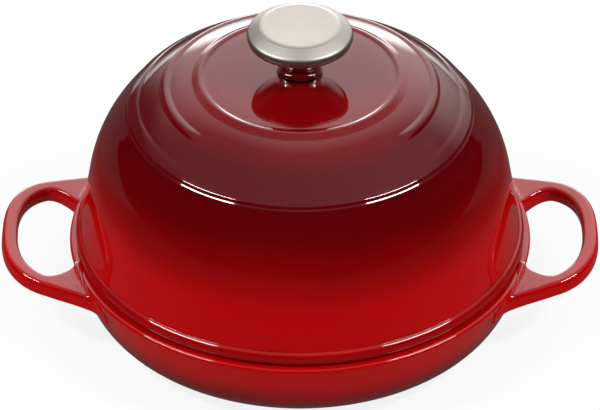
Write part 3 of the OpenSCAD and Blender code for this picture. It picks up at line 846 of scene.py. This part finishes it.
class CLOCHE_OT_knob(bpy.types.Operator):
    """Build the knob's brushed cap and its polished stem"""

    bl_idname = "cloche.knob"
    bl_label = "Knob"

    def execute(self, context):
        s, paint = sizes(context, "knob"), sizes(context, "finishes")
        brushed = turned_steel("brushed_stainless", paint.steel, roughness=(0.42, 0.5), mark=0.35 * MM,
                               depth=0.006 * MM, anisotropy=0.3)
        polished = turned_steel("polished_stainless", paint.steel, roughness=(0.07, 0.14), mark=0.6 * MM,
                                depth=0.002 * MM)
        for name, outline, material, node, slot in (
            ("knob_cap_shell", cap_outline(s), brushed, "knob_cap", "brushed_stainless"),
            ("knob_stem_turning", stem_outline(s), polished, "knob_stem", "polished_stainless"),
        ):
            points, faces, _ = revolve(outline, KNOB_STEPS, closed=False)
            piece = mesh_object(name, points, faces, [material])
            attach(piece, "lid")
            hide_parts(node)
        return {"FINISHED"}


class CLOCHE_OT_fixings(bpy.types.Operator):
    """Finish the screw and the washers under the crown"""

    bl_idname = "cloche.fixings"
    bl_label = "Fixings"

    def execute(self, context):
        paint = sizes(context, "finishes")
        plain = turned_steel("plain_stainless", paint.zinc, roughness=(0.25, 0.38), mark=0.5 * MM,
                             depth=0.004 * MM)
        spring = turned_steel("spring_steel", paint.spring, roughness=(0.35, 0.5), mark=0.5 * MM,
                              depth=0.004 * MM)
        finish_cad_node("knob_screw", plain)
        finish_cad_node("flat_washer", plain)
        finish_cad_node("spring_washer", spring)
        return {"FINISHED"}


def strip_lamp(name, start, end, width, watts):
    """A long softbox between two points, facing the middle of the cloche."""
    start, end = Vector(start), Vector(end)
    aim = Vector((0, 0, 80 * MM))
    data = bpy.data.lights.new(name, "AREA")
    data.shape = "RECTANGLE"
    data.size, data.size_y, data.energy = (end - start).length, width, watts
    lamp = bpy.data.objects.new(name, data)
    bpy.context.scene.collection.objects.link(lamp)
    middle = (start + end) / 2
    along = (end - start).normalized()
    back = (middle - aim).normalized()
    back = (back - along * back.dot(along)).normalized()
    turn = Matrix((along, back.cross(along), back)).transposed().to_4x4()
    lamp.matrix_world = Matrix.Translation(middle) @ turn


def paper_floor(rgb):
    """Smooth white paper, which holds a soft shadow and which the camera sees lifted to plain white outside
    it. In reflections it shows painted light in place of its lit colour: a dim table, a little less dim
    round the cloche and behind it, and glowing brighter than white far behind, as if a back light fell
    there."""
    fibre_size, lifted = 4 * MM, 0.86
    material, tree = new_material("white_paper")
    rays = add_node(tree, "LightPath")
    place = add_node(tree, "TexCoord").outputs["Object"]
    fibres = add_node(tree, "TexNoise", {"Vector": place, "Scale": 1 / fibre_size, "Detail": 2.0})
    tint = add_node(tree, "Mix", {"Factor": fibres, "A": opaque(rgb, 0.97), "B": opaque(rgb)},
                    data_type="RGBA")
    paper = add_node(tree, "BsdfDiffuse", {"Color": tint})
    parts = add_node(tree, "SeparateXYZ", {"Vector": place})
    side, depth = parts.outputs["X"], parts.outputs["Y"]
    away = add_node(tree, "VectorMath", {0: place}, operation="LENGTH")
    # Metres to the side for each metre behind the cloche
    across = add_node(tree, "Math", {0: side}, operation="ABSOLUTE")
    behind = add_node(tree, "Math", {0: depth, 1: 0.01}, operation="MAXIMUM")
    spread = add_node(tree, "Math", {0: across, 1: behind}, operation="DIVIDE")
    # Painted light for reflections: a measure of the place, where it starts and stops changing, and the
    # levels there
    bands = {
        "round": (away, 0.18, 0.36, 0.1, 0.03),
        "back": (depth, 0.1, 0.3, 0.03, 0.1),
        "far": (depth, 0.5, 1.6, 0, 3),
        "middle": (spread, 0.7, 0.2, 0, 1),
    }
    eased = {name: add_node(tree, "MapRange", dict(zip(RANGE, band)), interpolation_type="SMOOTHSTEP")
             for name, band in bands.items()}
    near = add_node(tree, "Math", {0: eased["round"], 1: eased["back"]}, operation="MAXIMUM")
    far = add_node(tree, "Math", {0: eased["far"], 1: eased["middle"]}, operation="MULTIPLY")
    table = add_node(tree, "Math", {0: near, 1: far}, operation="ADD")
    # Painted light: the glow that reflections show in place of the lit paper
    painted_reflection = add_node(tree, "Emission", {"Strength": table})
    white = add_node(tree, "Emission", {"Strength": 1.0})
    share = add_node(tree, "Math", {0: rays.outputs["Is Camera Ray"], 1: lifted}, operation="MULTIPLY")
    seen = add_node(tree, "MixShader", {0: share, 1: paper, 2: white})
    mixed = add_node(tree, "MixShader", {0: rays.outputs["Is Glossy Ray"], 1: seen, 2: painted_reflection})
    add_node(tree, "OutputMaterial", {"Surface": mixed})
    return material


def studio_world():
    """The room: white to the camera, and an even light on the cloche. The enamel mirrors a bright sheet
    behind it that fades towards the sides and glows low in the middle, a dim ceiling and a dark front."""
    even_light = 0.45
    world = bpy.data.worlds.new("studio")
    world.use_nodes = True
    tree = world.node_tree
    tree.nodes.clear()
    rays = add_node(tree, "LightPath")
    toward = add_node(tree, "TexCoord").outputs["Generated"]
    parts = add_node(tree, "SeparateXYZ", {"Vector": toward})
    side, depth, height = (parts.outputs[axis] for axis in "XYZ")
    across = add_node(tree, "Math", {0: side}, operation="ABSOLUTE")
    slant = add_node(tree, "Math", {0: depth, 1: 0.5, 2: height}, operation="MULTIPLY_ADD")
    roof = add_node(tree, "Math", {0: depth, 1: 0.35, 2: height}, operation="MULTIPLY_ADD")
    # A measure of the direction, where its light or shape starts and stops changing, and the levels there
    bands = {
        "low": (height, 0.5, -0.1, 0, 0.32),
        "high": (height, 0.35, 0.85, 0, 0.32),
        "middle": (across, 0.6, 0, 0, 1),
        "left": (side, -0.3, -0.6, 0, 0.3),
        "below": (height, 0.6, 0.3, 0, 1),
        "foot": (slant, 0.3, 0.55, 0, 1),
        "ceiling": (roof, 0.5, 0.75, 0, 0.42),
        "glow": (depth, 0.94, 0.985, 0, 5),
        "ground": (height, 0.28, 0.14, 0, 1),
    }
    eased = {name: add_node(tree, "MapRange", dict(zip(RANGE, band)), interpolation_type="SMOOTHSTEP")
             for name, band in bands.items()}
    # The sheet's edge lies further back low down and at the left, and further forward overhead
    left = add_node(tree, "Math", {0: eased["left"], 1: eased["below"]}, operation="MULTIPLY")
    sunk = add_node(tree, "Math", {0: eased["low"], 1: left}, operation="ADD")
    over = add_node(tree, "Math", {0: eased["high"], 1: eased["middle"]}, operation="MULTIPLY")
    reach = add_node(tree, "Math", {0: depth, 1: sunk}, operation="SUBTRACT")
    reach = add_node(tree, "Math", {0: reach, 1: over}, operation="ADD")
    sheet = add_node(tree, "MapRange", dict(zip(RANGE, (reach, 0.3, 1, 0.1, 1.9))),
                     interpolation_type="SMOOTHSTEP")
    sheet = add_node(tree, "Math", {0: sheet, 1: eased["foot"]}, operation="MULTIPLY")
    room = add_node(tree, "Math", {0: sheet, 1: eased["ceiling"]}, operation="MAXIMUM")
    # The right side is brighter than the left
    tilt = add_node(tree, "Math", {0: side, 1: 0.35, 2: 1.0}, operation="MULTIPLY_ADD")
    room = add_node(tree, "Math", {0: room, 1: tilt}, operation="MULTIPLY")
    glow = add_node(tree, "Math", {0: eased["glow"], 1: eased["ground"]}, operation="MULTIPLY")
    room = add_node(tree, "Math", {0: room, 1: glow}, operation="ADD")
    soft = add_node(tree, "Mix", {"Factor": rays.outputs["Is Diffuse Ray"], "A": room, "B": even_light})
    seen = add_node(tree, "Mix", {"Factor": rays.outputs["Is Camera Ray"], "A": soft, "B": 1.0})
    back = add_node(tree, "Background", {"Color": (1, 1, 1, 1), "Strength": seen})
    add_node(tree, "OutputWorld", {"Surface": back})
    bpy.context.scene.world = world


class CLOCHE_OT_studio(bpy.types.Operator):
    """Lay the floor, set the lamps and place the camera"""

    bl_idname = "cloche.studio"
    bl_label = "Studio"

    # The camera's distance, height in degrees, focal length in pixels of the picture, and height of its aim
    camera_distance = 3.0
    camera_elevation = 35.75
    camera_focal = 5776
    camera_aim = 59.76 * MM

    # Ends of the right-hand softbox, which the left one mirrors
    strip_ends = (0.715, -0.599, 1.235), (1.145, -0.095, 1.019)
    strip_width = 120 * MM
    strip_watts = 13

    # The floor lies a hair under the pan's foot, so that the two faces don't share one plane
    floor_reach = 4.0
    floor_height = -0.02 * MM

    def execute(self, context):
        paint = sizes(context, "finishes")
        studio_world()
        corners = [(x * self.floor_reach, y * self.floor_reach, self.floor_height)
                   for x, y in ((-1, -1), (1, -1), (1, 1), (-1, 1))]
        floor = mesh_object("floor", corners, [(0, 1, 2, 3)], [paper_floor(paint.paper)])
        for side, name in ((-1, "left_strip"), (1, "right_strip")):
            ends = [(side * x, y, z) for x, y, z in self.strip_ends]
            strip_lamp(name, *ends, self.strip_width, self.strip_watts)
        data = bpy.data.cameras.new("camera")
        data.sensor_width = 36
        data.lens = self.camera_focal * data.sensor_width / IMAGE_WIDTH
        data.clip_start, data.clip_end = 0.1, 20
        camera = bpy.data.objects.new("camera", data)
        bpy.context.scene.collection.objects.link(camera)
        aim, height = Vector((0, 0, self.camera_aim)), math.radians(self.camera_elevation)
        camera.location = aim + Vector((0, -math.cos(height), math.sin(height))) * self.camera_distance
        camera.rotation_euler = (aim - camera.location).to_track_quat("-Z", "Y").to_euler()
        bpy.context.scene.camera = camera
        bpy.context.scene.view_settings.view_transform = "Standard"
        return {"FINISHED"}


class CLOCHE_PT_panel(bpy.types.Panel):
    """The cloche's pieces and sizes in the sidebar"""

    bl_label = "Bread cloche"
    bl_space_type = "VIEW_3D"
    bl_region_type = "UI"
    bl_category = "Cloche"

    def draw(self, context):
        for operator in OPERATORS:
            self.layout.operator(operator.bl_idname)
        for group in GROUPS:
            box = self.layout.box()
            box.label(text=group.capitalize())
            values = sizes(context, group)
            for name in values.bl_rna.properties.keys():
                if name not in ("rna_type", "name"):
                    box.prop(values, name)


GROUPS = {"pan": PanSizes, "lid": LidSizes, "knob": KnobSizes, "finishes": Finishes}
OPERATORS = [CLOCHE_OT_pan, CLOCHE_OT_lid, CLOCHE_OT_knob, CLOCHE_OT_fixings, CLOCHE_OT_studio]


def register():
    for kind in [*GROUPS.values(), *OPERATORS, CLOCHE_PT_panel]:
        bpy.utils.register_class(kind)
    for name, kind in GROUPS.items():
        setattr(bpy.types.Scene, "cloche_" + name, PointerProperty(type=kind))


def unregister():
    for name in GROUPS:
        delattr(bpy.types.Scene, "cloche_" + name)
    for kind in reversed([*GROUPS.values(), *OPERATORS, CLOCHE_PT_panel]):
        bpy.utils.unregister_class(kind)


def main():
    register()
    bpy.ops.cloche.pan()
    bpy.ops.cloche.lid()
    bpy.ops.cloche.knob()
    bpy.ops.cloche.fixings()
    bpy.ops.cloche.studio()


if __name__ == "__main__":
    main()
